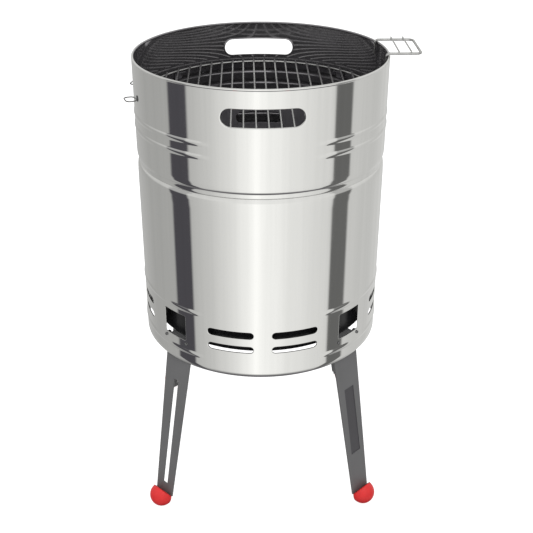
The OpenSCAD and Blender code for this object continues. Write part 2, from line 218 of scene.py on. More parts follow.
def tube(path, radius, sides=14, closed=False):
    """A round wire swept along a path, its open ends domed."""
    path = [Vector(p) for p in path]
    tangents = tangents_of(path, closed)
    side = tangents[0].orthogonal().normalized()
    rings = []
    for point, tangent in zip(path, tangents):
        side = (side - tangent * side.dot(tangent)).normalized()
        rings.append((point, side.copy(), tangent.cross(side), radius))
    if not closed:
        rings = domed_ends(rings, tangents, radius)
    verts = []
    for point, u, v, r in rings:
        for i in range(sides):
            a = 2 * math.pi * i / sides
            verts.append(point + (u * math.cos(a) + v * math.sin(a)) * r)
    faces = between_rings(len(rings), sides, closed)
    if not closed:
        faces.append(tuple(range(sides)))
        faces.append(tuple(len(verts) - sides + i for i in range(sides)))
    return verts, faces


def domed_ends(rings, tangents, radius):
    """Adds three shrinking rings at each end of a wire, so that it ends in a soft dome."""
    steps = ((0.35, 0.94), (0.12, 0.75), (0.0, 0.35))
    first, last = rings[0], rings[-1]
    start = [(first[0] + tangents[0] * radius * a, first[1], first[2], radius * b)
             for a, b in reversed(steps)]
    end = [(last[0] - tangents[-1] * radius * a, last[1], last[2], radius * b)
           for a, b in steps]
    head = (first[0] + tangents[0] * radius * 0.7, first[1], first[2], radius)
    tail = (last[0] - tangents[-1] * radius * 0.7, last[1], last[2], radius)
    return start + [head] + rings[1:-1] + [tail] + end


def blob(centre, radius, squash=0.6):
    """A small weld bead: a flattened ball."""
    bm = bmesh.new()
    bmesh.ops.create_icosphere(bm, subdivisions=2, radius=radius)
    bm.verts.ensure_lookup_table()
    verts = [Vector((v.co.x, v.co.y, v.co.z * squash)) + Vector(centre) for v in bm.verts]
    faces = [tuple(v.index for v in f.verts) for f in bm.faces]
    bm.free()
    return verts, faces


# ---------------------------------------------------------------- grid of a sheet-metal wall
def spaced(start, stop, step):
    """Evenly spaced values from start to stop, both included."""
    count = max(1, round(abs(stop - start) / step))
    return [start + (stop - start) * i / count for i in range(count + 1)]


def merged(*groups):
    """Heights from several lists of drops, highest first, none closer than a hundredth of a mm."""
    values = sorted({round(v, 2) for group in groups for v in group})
    return [drop_z(v) for v in values]


def shell_columns(seams):
    """Angles of a shell's columns: every degree, and close pairs at the lapped seam's edges."""
    extra = [edge + d for edge in seams for d in (-0.06, 0.06)]
    plain = [a for a in range(360) if all(abs(a - e) > 0.3 for e in seams)]
    return sorted(plain + extra)


SEAM_AZ = 105
SEAM_HALF = 2.0
SEAM_EDGES = (SEAM_AZ - SEAM_HALF, SEAM_AZ + SEAM_HALF)
COLUMNS = shell_columns(SEAM_EDGES)


def column_at(az):
    """The index of the column nearest an angle, counting on past a full turn."""
    turns, rest = divmod(az, 360)
    best = min(range(len(COLUMNS)), key=lambda i: abs(COLUMNS[i] - rest))
    return int(best + turns * len(COLUMNS))


def unwrapped(column):
    """The angle of a column, counting on past a full turn."""
    return COLUMNS[column % len(COLUMNS)] + 360 * (column // len(COLUMNS))


def row_at(rows, z):
    return min(range(len(rows)), key=lambda i: abs(rows[i] - z))


# ---------------------------------------------------------------- holes in a wall
def make_hole(rows, az, drop, size, r, patch, lip, depth):
    """A hole, and the patch of columns and rows that it is cut in.

    size is its width and height, r its corners' radius, lip the radius of its turned-in edge and
    depth how deep that edge reaches, in mm; patch is half the patch's angle and half its height."""
    z = drop_z(drop)
    half_az, half_rows = patch
    return {
        "az": az, "z": z, "w": size[0] * MM, "h": size[1] * MM, "r": r * MM,
        "cols": (column_at(az - half_az), column_at(az + half_az)),
        "rows": (row_at(rows, z + half_rows * MM), row_at(rows, z - half_rows * MM)),
        "lip": lip * MM, "depth": depth * MM,
    }


def hole_side(flat, r, count):
    """One side of a hole, from mid-corner to mid-corner, as (along, outwards) points."""
    quarter = math.pi / 4
    arc = r * quarter
    points = []
    for i in range(count):
        s = i / count
        s = 0.55 * s + 0.45 * (0.5 - 0.5 * math.cos(math.pi * s))
        d = s * (flat + 2 * arc)
        if d < arc:
            a = quarter - d / r
            points.append((-flat / 2 - r * math.sin(a), -r * (1 - math.cos(a))))
        elif d > arc + flat:
            a = (d - arc - flat) / r
            points.append((flat / 2 + r * math.sin(a), -r * (1 - math.cos(a))))
        else:
            points.append((d - arc - flat / 2, 0.0))
    return points


def hole_outline(hole, offset, across, down):
    """Points round a hole, as (chord, height) from its centre, matched to a patch's four sides.

    across and down are the numbers of steps along the patch's long and short sides."""
    w, h = hole["w"] / 2 + offset, hole["h"] / 2 + offset
    r = min(hole["r"] + offset, w, h)
    wide = hole_side(2 * (w - r), r, across)
    tall = hole_side(2 * (h - r), r, down)
    top = [(x, h + y) for x, y in wide]
    right = [(w + y, -x) for x, y in tall]
    bottom = [(-x, -h - y) for x, y in wide]
    left = [(-w - y, x) for x, y in tall]
    return top + right + bottom + left


def lip_profile(lip, depth):
    """(distance out from the hole's edge, depth inside the wall) pairs over a hole's lip."""
    turns = [math.pi / 2 * i / 4 for i in range(1, 5)]
    profile = [(lip * (1 - math.sin(a)), lip * (1 - math.cos(a))) for a in turns]
    if depth <= lip + SHEET:
        return profile + [(SHEET * 0.1, max(depth, SHEET))]
    return profile + [(0.0, depth - SHEET * 0.4), (SHEET * 0.15, depth), (SHEET * 0.85, depth),
                      (SHEET, depth - SHEET * 0.4), (SHEET, lip + SHEET * 1.05)]


def patch_border(hole):
    """The (row, column) pairs round a hole's patch, clockwise from its top left."""
    c0, c1 = hole["cols"]
    i0, i1 = hole["rows"]
    border = [(i0, c) for c in range(c0, c1)] + [(i, c1) for i in range(i0, i1)]
    return border + [(i1, c) for c in range(c1, c0, -1)] + [(i, c0) for i in range(i1, i0, -1)]


PATCH_STEPS = (0.4, 0.75, 0.93, 1.0)


class Shell:
    """A closed sheet-metal wall: rings of points down the outside and up the inside.

    rows are heights from the top down; radius_at and sheet_at give the outer radius and the
    sheet's thickness at (az, z). The loops close its edges, as (radius, height) points."""

    def __init__(self, rows, radius_at, sheet_at, top_loop, bottom_loop):
        self.rows, self.radius_at, self.sheet_at = rows, radius_at, sheet_at
        self.first_inner = len(rows) + len(bottom_loop)
        self.verts, self.faces = [], []
        for z in rows:
            self.verts += [self.point(az, z, 0.0) for az in COLUMNS]
        self.add_loop(bottom_loop)
        for z in reversed(rows):
            self.verts += [self.point(az, z, sheet_at(az, z)) for az in COLUMNS]
        self.add_loop(top_loop)

    def point(self, az, z, depth):
        """The point at a depth inside the wall's outer face."""
        return at(az, self.radius_at(az, z) - depth, z)

    def add_loop(self, loop):
        for r, z in loop:
            self.verts += [at(az, r, z) for az in COLUMNS]

    def outer_index(self, row, column):
        return row * len(COLUMNS) + column % len(COLUMNS)

    def inner_index(self, row, column):
        return self.outer_index(self.first_inner + len(self.rows) - 1 - row, column)

    def row_of(self, ring):
        """The row that a ring of faces lies in, on either side of the wall; None on an edge."""
        steps = len(self.rows) - 1
        if ring < steps:
            return ring
        if self.first_inner <= ring < self.first_inner + steps:
            return self.first_inner + steps - 1 - ring
        return None

    def add_faces(self, holes):
        """Faces between neighbouring rings, but for the holes' patches."""
        cols = len(COLUMNS)
        rings = len(self.verts) // cols
        open_cells = {(i, c % cols) for hole in holes
                      for i in range(*hole["rows"]) for c in range(*hole["cols"])}
        for k in range(rings):
            for c in range(cols):
                if (self.row_of(k), c) not in open_cells:
                    k2, c2 = (k + 1) % rings, (c + 1) % cols
                    self.faces.append((k * cols + c, k2 * cols + c,
                                       k2 * cols + c2, k * cols + c2))

    def hole_rings(self, hole, border):
        """Rings of (az, z) points and their depths, from a patch over the lip and back inside."""
        (c0, c1), (i0, i1) = hole["cols"], hole["rows"]
        az0, z0 = hole["az"], hole["z"]
        r_here = self.radius_at(az0, z0)

        def outline(offset):
            return [(az0 + math.degrees(math.asin(u / r_here)), z0 + v)
                    for u, v in hole_outline(hole, offset, c1 - c0, i1 - i0)]

        patch = [(unwrapped(c), self.rows[i]) for i, c in border]
        edge = outline(hole["lip"])

        def blended(w):
            return [(a + (c - a) * w, b + (d - b) * w) for (a, b), (c, d) in zip(patch, edge)]

        rings = [(blended(w), 0.0) for w in PATCH_STEPS]
        rings += [(outline(out), depth) for out, depth in lip_profile(hole["lip"], hole["depth"])]
        return rings + [(blended(w), self.sheet_at(az0, z0)) for w in reversed(PATCH_STEPS)]

    def cut_hole(self, hole):
        """Fills a patch with rings that lead from its border to a hole and back inside."""
        border = patch_border(hole)
        loops = [[self.outer_index(i, c) for i, c in border]]
        for points, depth in self.hole_rings(hole, border):
            loops.append(range(len(self.verts), len(self.verts) + len(points)))
            self.verts += [self.point(az, z, depth) for az, z in points]
        loops.append([self.inner_index(i, c) for i, c in border])
        for a, b in zip(loops, loops[1:]):
            for i in range(len(border)):
                j = (i + 1) % len(border)
                self.faces.append((a[i], b[i], b[j], a[j]))


def build_shell(rows, radius_at, sheet_at, top_loop, bottom_loop, holes):
    """The points and faces of a closed sheet-metal wall with holes."""
    shell = Shell(rows, radius_at, sheet_at, top_loop, bottom_loop)
    shell.add_faces(holes)
    for hole in holes:
        shell.cut_hole(hole)
    return shell.verts, shell.faces


def rolled_edge(centre_r, centre_z, radius, count):
    """A top edge's loop, rolled from the inside over the top and down the outside."""
    turns = [math.radians(-60 + 270 * i / (count - 1)) for i in range(count)]
    return [(centre_r - radius * math.cos(a), centre_z + radius * math.sin(a)) for a in turns]


# ---------------------------------------------------------------- the drum's two shells
HAND_DROP = 43
HAND_SIZE = (120, 27)
VENT_DROPS = (397, 423)
VENT_SIZE = (75, 12)
VENT_AZS = (-15, 15)
WINDOW_DROP = 407
WINDOW_SIZE = (48, 46)
WINDOW_AZ = 45
BEAD_PROUD = 1.0 * MM
BEAD_HALF = 4.5 * MM
BEAD_TAPER = 7
UPPER_BEADS = (86, 106)
LOWER_BEADS = (371, 449)
UPPER_PLAIN = 22
LOWER_PLAIN = 27.5
# the walls' depths below the drum's radius, as (drop, depth) points in mm
WAIST_POINTS = ((146, 0.0), (152, 0.3), (155, 0.9), (157.5, 2.1), (160, 2.4), (162.5, 2.55),
                (164.5, 2.9), (166, 3.6), (168, 4.0), (186, 4.0))
SHOULDER_POINTS = ((165.6, 3.2), (168, 2.0), (171.5, 0.9), (177, 0.3), (190, 0.0))


def seam_sheet(az, z):
    """The sheet's thickness, nearly doubled where its two ends lap."""
    lapped = SEAM_EDGES[0] < az % 360 < SEAM_EDGES[1]
    return SHEET + (0.8 * MM if lapped and not UPPER_BOTTOM < z < drop_z(150) else 0.0)


def slope_at(points, i):
    """Slope of a curve through points at one of them; level at both ends and at every step."""
    if i in (0, len(points) - 1):
        return 0.0
    before = (points[i][1] - points[i - 1][1]) / (points[i][0] - points[i - 1][0])
    after = (points[i + 1][1] - points[i][1]) / (points[i + 1][0] - points[i][0])
    if before * after <= 0:
        return 0.0
    return 2 * before * after / (before + after)


def inset_at(points, drop):
    """How far the wall lies inside the drum's radius, in mm: a smooth curve through points."""
    if drop <= points[0][0]:
        return points[0][1]
    for i in range(len(points) - 1):
        (d0, v0), (d1, v1) = points[i], points[i + 1]
        if drop <= d1:
            span = d1 - d0
            t = (drop - d0) / span
            m0, m1 = span * slope_at(points, i), span * slope_at(points, i + 1)
            start = (2 * t ** 3 - 3 * t ** 2 + 1) * v0 + (t ** 3 - 2 * t ** 2 + t) * m0
            return start + (3 * t ** 2 - 2 * t ** 3) * v1 + (t ** 3 - t ** 2) * m1
    return points[-1][1]


def beads_at(az, z, drops, plain):
    """Height of the rolled beads at a point: half cosines that fade out on the plain front."""
    total = 0.0
    for drop in drops:
        t = (z - drop_z(drop)) / BEAD_HALF
        total += BEAD_PROUD * math.cos(math.pi / 2 * t) ** 1.3 if abs(t) < 1 else 0.0
    away = abs((az + 180) % 360 - 180)
    return total * smooth_step((away - plain) / BEAD_TAPER)


def upper_radius(az, z):
    return BARREL_R - inset_at(WAIST_POINTS, drop_of(z)) * MM + beads_at(az, z, UPPER_BEADS, UPPER_PLAIN)


def lower_radius(az, z):
    return (BARREL_R - inset_at(SHOULDER_POINTS, drop_of(z)) * MM
            + beads_at(az, z, LOWER_BEADS, LOWER_PLAIN))


def build_upper_shell(material):
    """The upper wall, from its rolled rim down to the neck that sits in the lower shell."""
    rows = merged(spaced(3, 9, 0.75), spaced(11, 23, 3), spaced(23, 63, 2.5), [70, 76, 80],
                  spaced(81, 91, 0.5), [93, 96, 99], spaced(101, 111, 0.5),
                  [114, 120, 130, 138, 144], spaced(146, 166, 0.5),
                  [170, 178, drop_of(UPPER_BOTTOM)])
    roll = rolled_edge(ROLL_CENTRE_R - 0.5 * MM, RIM_Z - ROLL_R, ROLL_R, 11)
    bottom = [(NECK_R - SHEET / 2, UPPER_BOTTOM)]
    holes = [make_hole(rows, az, HAND_DROP, HAND_SIZE, HAND_SIZE[1] / 2, (20, 20), 1.3, 3.4)
             for az in (0, 180)]
    wall = build_shell(rows, upper_radius, seam_sheet, roll, bottom, holes)
    finish_piece(add_object("drum_upper", *wall), material, "drum", ["upper_shell"])


def build_lower_shell(material):
    """The lower wall, with its curled lip, vents and windows."""
    rows = merged(spaced(165.6, 180.6, 0.6), spaced(182, 192, 2), spaced(200, 360, 20), [364],
                  spaced(366, 376, 0.5), spaced(378, 436, 2), [440], spaced(444, 454, 0.5),
                  [458, 465, drop_of(LOWER_BOTTOM) - 0.4])
    lip_r = NECK_R + 0.15 * MM
    top = [(lip_r, LOWER_TOP - 1.6 * MM), (lip_r, LOWER_TOP - 0.5 * MM),
           (lip_r + 0.3 * MM, LOWER_TOP)]
    bottom = [(BARREL_R - 0.3 * MM, LOWER_BOTTOM), (BARREL_R - 0.7 * MM, LOWER_BOTTOM)]
    holes = []
    for quarter in (0, 90, 180, 270):
        for side in VENT_AZS:
            for drop in VENT_DROPS:
                holes.append(make_hole(rows, quarter + side, drop, VENT_SIZE, VENT_SIZE[1] / 2,
                                       (12, 10), 0.8, 2.4))
        holes.append(make_hole(rows, quarter + WINDOW_AZ, WINDOW_DROP, WINDOW_SIZE, 3,
                               (9, 26), 0.5, 1.0))
    wall = build_shell(rows, lower_radius, seam_sheet, top, bottom, holes)
    finish_piece(add_object("drum_lower", *wall), material, "drum", ["lower_shell"])


# ---------------------------------------------------------------- bowl, grid and grate
BOWL_WALL = 1.2 * MM
BOWL_CORNER = 4 * MM
BOWL_ROLL_R = 2 * MM
BOWL_SLOT_DROP = 169
AIR_HOLE_DROP = 380
AIR_HOLES = 20
GRID_BARS = 15
GRID_PITCH = 22
GRATE_BARS = 20
GRATE_PITCH = 18.3


def bowl_floor(outer_r, floor_z):
    """A loop round the bowl's outer corner to the floor's middle, and back out above it."""
    centre_r, centre_z = outer_r - BOWL_CORNER, floor_z + BOWL_CORNER
    turns = [math.radians(15 * i) for i in range(1, 7)]
    flat = [r * MM for r in (150, 100, 50, 12, 0)]

    def side(radius, z):
        corner = [(centre_r + radius * math.cos(a), centre_z - radius * math.sin(a)) for a in turns]
        return corner + [(r, z) for r in flat]

    under = side(BOWL_CORNER, floor_z)
    over = side(BOWL_CORNER - BOWL_WALL, floor_z + BOWL_WALL)
    return under + over[::-1]


def build_bowl(material):
    """The charcoal bowl, with two hand slots and a ring of air holes low in its side."""
    lo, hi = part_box("charcoal_bowl")
    roll_z = hi.z - BOWL_ROLL_R
    side_top = drop_of(roll_z - BOWL_ROLL_R)

    def bowl_radius(az, z):
        return hi.x

    def bowl_sheet(az, z):
        return BOWL_WALL

    rows = merged([side_top, side_top + 3], spaced(157, 181, 2), [200, 240, 280, 330],
                  spaced(370, 390, 2), [400, 412, 424, drop_of(lo.z + BOWL_CORNER)])
    roll = rolled_edge(hi.x - BOWL_ROLL_R, roll_z, BOWL_ROLL_R, 10)
    holes = [make_hole(rows, az, BOWL_SLOT_DROP, (84, 20), 10, (16, 12), 0.6, 1.2)
             for az in (0, 180)]
    holes += [make_hole(rows, 360 * i // AIR_HOLES, AIR_HOLE_DROP, (12, 12), 6, (4, 10), 0.3, 1.2)
              for i in range(AIR_HOLES)]
    wall = build_shell(rows, bowl_radius, bowl_sheet, roll, bowl_floor(hi.x, lo.z), holes)
    finish_piece(add_object("charcoal_pan", *wall), material, "bowl", ["charcoal_bowl"])


def bar_positions(count, pitch):
    return [(i - (count - 1) / 2) * pitch * MM for i in range(count)]


def build_bars(name, node, xs, ring_r, body, material):
    """Parallel bars whose domed ends lie on a ring."""
    lo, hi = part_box(node)
    radius = (hi.z - lo.z) / 2
    z = (lo.z + hi.z) / 2
    parts = []
    for x in xs:
        half = math.sqrt(ring_r ** 2 - x * x)
        parts.append(tube(straight((x, -half, z), (x, half, z), 12), radius))
    finish_piece(add_object(name, *join_meshes(parts)), material, body, [node])


def build_ring(name, node, body, material, weld_xs=()):
    """A wire ring with a small weld bead over every bar's end that lies on it."""
    lo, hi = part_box(node)
    radius = (hi.z - lo.z) / 2
    centre_r = hi.x - radius
    z = (lo.z + hi.z) / 2
    path = [at(2.5 * i, centre_r, z) for i in range(144)]
    parts = [tube(path, radius, closed=True)]
    for x in weld_xs:
        y = math.sqrt(centre_r ** 2 - x * x)
        for side in (-1, 1):
            parts.append(blob((x, side * y, z + radius * 0.75), radius * 0.75))
    finish_piece(add_object(name, *join_meshes(parts)), material, body, [node])


def build_cross_wires(material):
    """Two wires under the grate's bars, with a weld bead at every crossing."""
    lo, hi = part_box("grate_cross_wires")
    radius = (hi.z - lo.z) / 2
    z = (lo.z + hi.z) / 2
    parts = []
    for y in (lo.y + radius, hi.y - radius):
        parts.append(tube(straight((lo.x, y, z), (hi.x, y, z), 16), radius))
        for x in bar_positions(GRATE_BARS, GRATE_PITCH):
            parts.append(blob((x, y, z + radius * 0.8), radius * 0.7))
    obj = add_object("grate_stays", *join_meshes(parts))
    finish_piece(obj, material, "cooking_grate", ["grate_cross_wires"])


# ---------------------------------------------------------------- rack and tool rings
RACK_WIRE_R = 2 * MM
RACK_HOOK_R = 4.45 * MM
RACK_CORNER_R = 8 * MM


def build_rack(material):
    """One bent wire whose two ends hook over the rim, and two rungs welded under it."""
    lo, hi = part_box("rack_frame")
    z = hi.z - RACK_WIRE_R
    ys = (lo.y + RACK_WIRE_R, hi.y - RACK_WIRE_R)
    end_x = hi.x - RACK_WIRE_R
    legs = [math.sqrt(ROLL_CENTRE_R ** 2 - y * y) - RACK_HOOK_R for y in ys]
    path = [(legs[0], ys[0], lo.z), (legs[0], ys[0], z), (end_x, ys[0], z),
            (end_x, ys[1], z), (legs[1], ys[1], z), (legs[1], ys[1], lo.z)]
    rounded = fillet(path[:3], RACK_HOOK_R, 10)[:-1] + fillet(path[1:5], RACK_CORNER_R, 10)[1:-1]
    rounded += fillet(path[3:], RACK_HOOK_R, 10)[1:]
    obj = add_object("rack_wire", *tube(rounded, RACK_WIRE_R))
    finish_piece(obj, material, "side_rack", ["rack_frame"])
    build_rungs(material, ys)


def build_rungs(material, ys):
    lo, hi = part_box("rack_cross_wires")
    radius = (hi.z - lo.z) / 2
    parts = []
    for x in (lo.x + radius, hi.x - radius):
        parts.append(tube(straight((x, lo.y, hi.z - radius), (x, hi.y, hi.z - radius), 8), radius))
        for y in ys:
            parts.append(blob((x, y, hi.z - 2.1 * radius), radius * 0.9))
    obj = add_object("rack_rungs", *join_meshes(parts))
    finish_piece(obj, material, "side_rack", ["rack_cross_wires"])


TOOL_RINGS = ((-69.7, 53, "tool_ring_front", "front_ring"),
              (-106, 66, "tool_ring_rear", "rear_ring"))
RING_WIRE_R = 1 * MM
OUTWARDS = Matrix.Rotation(-math.pi / 2, 4, "X")


def ring_wire():
    """A wire bent into a rounded square, its two ends side by side in the eyelet."""
    pair, root, near, far = 1.05 * MM, BARREL_R - 2.5 * MM, BARREL_R + 2.4 * MM, BARREL_R + 19 * MM
    half, shoulder = 11.5 * MM, near + 1.2 * MM
    loop = [(pair, root, 0), (pair, near, 0), (half, shoulder, 0), (half, far, 0),
            (-half, far, 0), (-half, shoulder, 0), (-pair, near, 0), (-pair, root, 0)]
    start = fillet(loop[:3], 1.0 * MM, 5)[:-1]
    middle = fillet(loop[1:7], 6.4 * MM, 10)[1:-1]
    end = fillet(loop[5:], 1.0 * MM, 5)[1:]
    return tube(start + middle + end, RING_WIRE_R)


def ring_ferrule():
    """The headed ferrule that holds a ring's two ends inside the wall."""
    profile = ((0, 0), (3.6, 0), (3.75, 0.3), (3.75, 1.0), (3.4, 1.2), (2, 1.3), (2, 4.6),
               (1.6, 5.0), (0, 5.0))
    ferrule = lathe([(r * MM, z * MM) for r, z in profile], 32)
    return moved(ferrule, Matrix.Translation((0, BARREL_R - 3.6 * MM, 0)) @ OUTWARDS)


def ring_eyelet():
    """A flanged eyelet set in a hole in the wall."""
    inner, outer = BARREL_R - 1.05 * MM, BARREL_R + 0.05 * MM
    flange = BARREL_R + 0.8 * MM
    profile = ((2.05, inner - 0.9 * MM), (4.4, inner - 0.9 * MM), (4.75, inner - 0.5 * MM),
               (4.6, inner), (3.5, inner), (3.5, outer), (4.75, outer),
               (4.6, flange - 0.2 * MM), (3.6, flange), (2.6, flange - 0.05 * MM),
               (2.05, flange - 0.5 * MM))
    return moved(lathe([(r * MM, z) for r, z in profile], 40, closed=True), OUTWARDS)


def build_tool_rings(wire, dark):
    """Each ring is one wire whose two ends share an eyelet; a ferrule turns with it."""
    eyelets = []
    for az, drop, node, body in TOOL_RINGS:
        place = local_frame(az, drop_z(drop))
        parts = [moved(ring_wire(), place), moved(ring_ferrule(), place)]
        obj = add_object(node + "_wire", *join_meshes(parts))
        finish_piece(obj, wire, body, [node])
        obj.visible_glossy = False
        eyelets.append(moved(ring_eyelet(), place))
    obj = add_object("eyelets", *join_meshes(eyelets))
    finish_piece(obj, dark, "drum", ["ring_eyelets"])


# ---------------------------------------------------------------- legs, feet and fasteners
SPLAY = math.radians(10.4)
TAB_R = BARREL_R - 4.3 * MM
LEG_LEN = 263.1 * MM
FOOT_R = 20.4 * MM
FOOT_OUT = 5.7 * MM
FOOT_DOWN = 3.2 * MM
FOOT_CUT = math.radians(41.6)
FOOT_EDGE = 0.9 * MM
SCREW_X = 23.5 * MM
SCREW_DROP = 436.5
PANEL_W = 23 * MM
PANEL_H = 126 * MM
PANEL_MID = 124 * MM
PANEL_DEPTH = 0.8 * MM


def leg_frame(az):
    """Local X across the leg, Y outwards through its sheet, Z up along it, from the bend."""
    tilt = Matrix.Translation((0, TAB_R, LOWER_BOTTOM)) @ Matrix.Rotation(SPLAY, 4, "X")
    return local_frame(az, 0) @ tilt


def foot_cuts(place):
    """(point, normal) of a foot's three flat faces: at the leg's sheet, aslant above, the floor."""
    turn = place.to_3x3()
    aslant = Vector((0, math.sin(FOOT_CUT), -math.cos(FOOT_CUT)))
    return ((place @ Vector((0, 0.1 * MM, 0)), turn @ Vector((0, 1, 0))),
            (place @ Vector((0, 0, -LEG_LEN)), turn @ aslant),
            (Vector((0, 0, 0)), Vector((0, 0, 1))))


def foot_mesh(name, az):
    """A ball cut flat on three sides, its edges softly rounded."""
    place = leg_frame(az)
    bm = bmesh.new()
    bmesh.ops.create_uvsphere(bm, u_segments=64, v_segments=40, radius=FOOT_R)
    bmesh.ops.translate(bm, verts=bm.verts, vec=Vector((0, FOOT_OUT, -LEG_LEN - FOOT_DOWN)))
    bmesh.ops.transform(bm, matrix=place, verts=bm.verts)
    for point, normal in foot_cuts(place):
        geom = bm.verts[:] + bm.edges[:] + bm.faces[:]
        cut = bmesh.ops.bisect_plane(bm, geom=geom, plane_co=point, plane_no=normal,
                                     clear_inner=True)
        edges = [e for e in cut["geom_cut"] if isinstance(e, bmesh.types.BMEdge)]
        bmesh.ops.edgeloop_fill(bm, edges=edges)
    bm.normal_update()
    sharp = [e for e in bm.edges if len(e.link_faces) == 2 and e.calc_face_angle() > 0.5]
    bmesh.ops.bevel(bm, geom=sharp, offset=FOOT_EDGE, segments=3, affect="EDGES", profile=0.6)
    mesh = bpy.data.meshes.new(name)
    bm.to_mesh(mesh)
    bm.free()
    return mesh


def build_feet(material):
    """Ball feet, flat against the leg, cut aslant above and worn flat on the floor."""
    for az, name in zip(LEG_AZS, ("front_right", "rear_right", "rear_left", "front_left")):
        obj = bpy.data.objects.new("ball_" + name, foot_mesh("ball_" + name, az))
        bpy.context.scene.collection.objects.link(obj)
        clean(obj)
        sharpen(obj, 50)
        finish_piece(obj, material, "drum", ["foot_" + name])


def pan_head(radius, height, steps=32):
    """A domed screw head with a cross-shaped recess half its height deep."""
    profile = [(radius, 0), (radius, height * 0.35), (radius * 0.92, height * 0.65),
               (radius * 0.7, height * 0.9), (radius * 0.4, height)]
    verts = lathe(profile, steps)[0]
    for level, scale in ((height, 1.0), (height * 0.5, 0.8)):
        for i in range(steps):
            a = 2 * math.pi * i / steps
            reach = radius * (0.13 + 0.25 * abs(math.cos(2 * a)) ** 6) * scale
            verts.append(Vector((reach * math.cos(a), reach * math.sin(a), level)))
    rings = len(profile) + 2
    faces = between_rings(rings, steps, False)
    faces.append(tuple((rings - 1) * steps + i for i in range(steps)))
    return verts, faces


def build_screws(material):
    """Pan-head screws through the drum's wall and the legs' tabs."""
    shaft_r = 1.95 * MM
    parts = []
    for az in LEG_AZS:
        for side in (-1, 1):
            seat = Matrix.Translation((side * SCREW_X, BARREL_R - 1 * MM, 0)) @ OUTWARDS
            place = local_frame(az, drop_z(SCREW_DROP)) @ seat
            place = place @ Matrix.Rotation(random.uniform(0, 3), 4, "Z")
            shaft = lathe([(0, -9 * MM), (1.7 * MM, -9 * MM), (shaft_r, -8.6 * MM),
                           (shaft_r, 0.2 * MM)], 20)
            parts += [moved(pan_head(2.6 * MM, 2 * MM), place), moved(shaft, place)]
    obj = add_object("pan_screws", *join_meshes(parts))
    sharpen(obj, 40)
    finish_piece(obj, material, "drum", ["leg_screws"])


def dress_cad(node, material, bevel):
    """Keeps a CAD node, with a new material and softened edges."""
    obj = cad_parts[node]
    obj.data.materials.clear()
    obj.data.materials.append(material)
    mod = obj.modifiers.new("soft_edges", "BEVEL")
    mod.width = bevel
    mod.segments = 2
    mod.limit_method = "ANGLE"
    mod.angle_limit = math.radians(40)
    mod.harden_normals = True


# ---------------------------------------------------------------- material helpers
def new_material(name):
    mat = bpy.data.materials.new(name)
    mat.use_nodes = True
    nodes, links = mat.node_tree.nodes, mat.node_tree.links
    return mat, nodes, links, nodes["Principled BSDF"]


def feed(links, value, socket):
    """Sets an input to a number or a colour, or links another node's output to it."""
    if isinstance(value, tuple):
        socket.default_value = (*value, 1)
    elif isinstance(value, (int, float)):
        socket.default_value = value
    else:
        links.new(value, socket)


def mixed(nodes, links, factor, first, second):
    """Two colours mixed; each is a node's output or three numbers."""
    node = nodes.new("ShaderNodeMix")
    node.data_type = "RGBA"
    feed(links, factor, node.inputs[0])
    feed(links, first, node.inputs[6])
    feed(links, second, node.inputs[7])
    return node.outputs[2]


def maths(nodes, links, operation, *values):
    node = nodes.new("ShaderNodeMath")
    node.operation = operation
    for value, socket in zip(values, node.inputs):
        feed(links, value, socket)
    return node.outputs[0]


def split_xyz(nodes, links, vector):
    node = nodes.new("ShaderNodeSeparateXYZ")
    links.new(vector, node.inputs[0])
    return node.outputs


def object_coords(nodes):
    """A piece's own coordinates, which are the model's at rest, and its own normal."""
    coord = nodes.new("ShaderNodeTexCoord")
    return coord.outputs["Object"], coord.outputs["Normal"]


def noise(nodes, links, scale, stretch=(1, 1, 1), detail=4):
    """Noise in the object's own coordinates, stretched along its axes; returns its factor."""
    mapping = nodes.new("ShaderNodeMapping")
    mapping.inputs["Scale"].default_value = stretch
    tex = nodes.new("ShaderNodeTexNoise")
    tex.inputs["Scale"].default_value = scale
    tex.inputs["Detail"].default_value = detail
    tex.inputs["Roughness"].default_value = 0.55
    links.new(object_coords(nodes)[0], mapping.inputs["Vector"])
    links.new(mapping.outputs["Vector"], tex.inputs["Vector"])
    return tex.outputs["Fac"]


def spread(nodes, links, factor, low, high, from_low=0.3, from_high=0.7):
    """A factor brought into the range low to high."""
    node = nodes.new("ShaderNodeMapRange")
    node.inputs["From Min"].default_value = from_low
    node.inputs["From Max"].default_value = from_high
    node.inputs["To Min"].default_value = low
    node.inputs["To Max"].default_value = high
    links.new(factor, node.inputs["Value"])
    return node.outputs["Result"]


def mottled(nodes, links, factor, dark, light):
    """A colour that varies with a noise from dark to light."""
    return mixed(nodes, links, spread(nodes, links, factor, 0, 1), dark, light)


def bump(nodes, links, bsdf, height, distance, strength, below=None):
    node = nodes.new("ShaderNodeBump")
    node.inputs["Distance"].default_value = distance
    node.inputs["Strength"].default_value = strength
    links.new(height, node.inputs["Height"])
    if below is not None:
        links.new(below.outputs["Normal"], node.inputs["Normal"])
    links.new(node.outputs["Normal"], bsdf.inputs["Normal"])
    return node


def inward(nodes, links):
    """1 on faces that look towards the drum's axis, 0 on the rest."""
    place, normal = object_coords(nodes)
    flat = nodes.new("ShaderNodeVectorMath")
    flat.operation = "MULTIPLY"
    flat.inputs[1].default_value = (1, 1, 0)
    links.new(place, flat.inputs[0])
    unit = nodes.new("ShaderNodeVectorMath")
    unit.operation = "NORMALIZE"
    links.new(flat.outputs[0], unit.inputs[0])
    dot = nodes.new("ShaderNodeVectorMath")
    dot.operation = "DOT_PRODUCT"
    links.new(unit.outputs[0], dot.inputs[0])
    links.new(normal, dot.inputs[1])
    return spread(nodes, links, dot.outputs["Value"], 1, 0, -0.6, -0.2)


